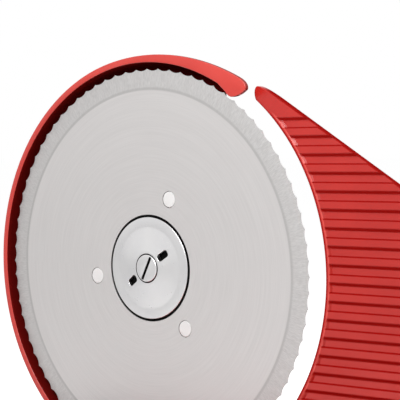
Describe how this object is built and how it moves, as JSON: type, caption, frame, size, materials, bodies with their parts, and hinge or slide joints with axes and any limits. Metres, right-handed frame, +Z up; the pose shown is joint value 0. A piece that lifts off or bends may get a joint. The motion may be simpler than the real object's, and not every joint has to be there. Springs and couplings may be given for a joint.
{
  "type": "hand crank meat slicer",
  "caption": "Kitchen slicer worked by a crank: a scalloped round blade in a red cast guard, a grooved guide plate set by a knob, and a sliding food carriage with a pusher.",
  "frame": {"origin": "centre of the footprint, on the plane that the feet stand on", "axes": "+X from the blade along the carriage's travel to the user's end, +Y from the food side to the crank side, +Z up"},
  "size_m": [0.4068, 0.2682, 0.2414],
  "materials": {
    "red_paint": "gloss enamel on a casting",
    "blade_steel": "fine circular grinding",
    "chrome": "bright plated",
    "steel": "drawn and brushed",
    "white_nylon": "moulded satin",
    "black_plastic": "moulded satin",
    "rubber": "matt",
    "bronze": "sintered"
  },
  "bodies": {
    "frame": {"base": "red_paint", "housing": "red_paint", "gear_shield": "steel", "shield_screw_1": "steel", "shield_screw_2": "steel", "shield_screw_3": "steel", "axle_bush": "bronze", "crank_bush": "bronze", "axle_cap": "black_plastic", "pedestal_screw_1": "steel", "pedestal_screw_2": "steel", "adjuster_block": "red_paint", "block_screw_1": "steel", "block_screw_2": "steel", "rail_block_1": "black_plastic", "rail_block_2": "black_plastic", "rail_screw_1": "steel", "rail_screw_2": "steel", "rail_inner": "steel", "rail_outer": "steel", "suction_foot_1": "rubber", "suction_foot_2": "rubber", "suction_foot_3": "rubber", "suction_foot_4": "rubber", "foot_screw_1": "steel", "foot_screw_2": "steel", "foot_screw_3": "steel", "foot_screw_4": "steel"},
    "blade_unit": {"blade": "blade_steel", "blade_seat": "black_plastic", "blade_cover": "chrome", "cover_screw": "chrome", "drive_hub": "white_nylon", "blade_axle": "steel", "axle_clip": "steel"},
    "crank": {"crank_gear": "white_nylon", "crank_shaft": "steel", "crank_arm": "chrome", "crank_nut": "chrome", "grip_pin": "steel"},
    "grip": {"crank_grip": "black_plastic", "grip_cap": "black_plastic"},
    "plate": {"guide_plate": "red_paint", "guide_rod_left": "steel", "guide_rod_right": "steel", "spindle_nut": "bronze"},
    "knob": {"knob_spindle": "steel", "thickness_knob": "black_plastic"},
    "carriage": {"carriage_deck": "steel", "slider_1": "black_plastic", "slider_2": "black_plastic", "slider_3": "black_plastic", "slider_4": "black_plastic", "carriage_wall": "black_plastic", "wall_screw_1": "steel", "wall_screw_2": "steel"},
    "pusher": {"pusher": "black_plastic", "pusher_knob": "black_plastic"}
  },
  "joints": [
    {"name": "crank_spin", "type": "hinge", "parent": "frame", "child": "crank", "pos_m": [-0.14907, 0.03423, 0.12307], "axis": [0, 1, 0], "continuous": true},
    {"name": "blade_spin", "type": "hinge", "parent": "frame", "child": "blade_unit", "pos_m": [-0.10255, 0.01423, 0.14], "axis": [0, 1, 0], "continuous": true},
    {"name": "grip_spin", "type": "hinge", "parent": "crank", "child": "grip", "pos_m": [-0.14907, 0.08423, 0.02807], "axis": [0, 1, 0], "continuous": true},
    {"name": "knob_turn", "type": "hinge", "parent": "frame", "child": "knob", "pos_m": [0.07545, 0.05423, 0.094], "axis": [0, 1, 0], "range_deg": [-103, 187]},
    {"name": "plate_slide", "type": "slide", "parent": "frame", "child": "plate", "axis": [0, 1, 0], "range_m": [-0.00515, 0.0094]},
    {"name": "carriage_slide", "type": "slide", "parent": "frame", "child": "carriage", "axis": [-1, 0, 0], "range_m": [0, 0.225]},
    {"name": "pusher_slide", "type": "slide", "parent": "carriage", "child": "pusher", "axis": [0, 1, 0], "range_m": [0, 0.085]}
  ],
  "couplings": [
    {"joint": "blade_spin", "follows": "crank_spin", "ratio": -2.6667},
    {"joint": "knob_turn", "follows": "plate_slide", "rad_per_m": 344.83}
  ]
}
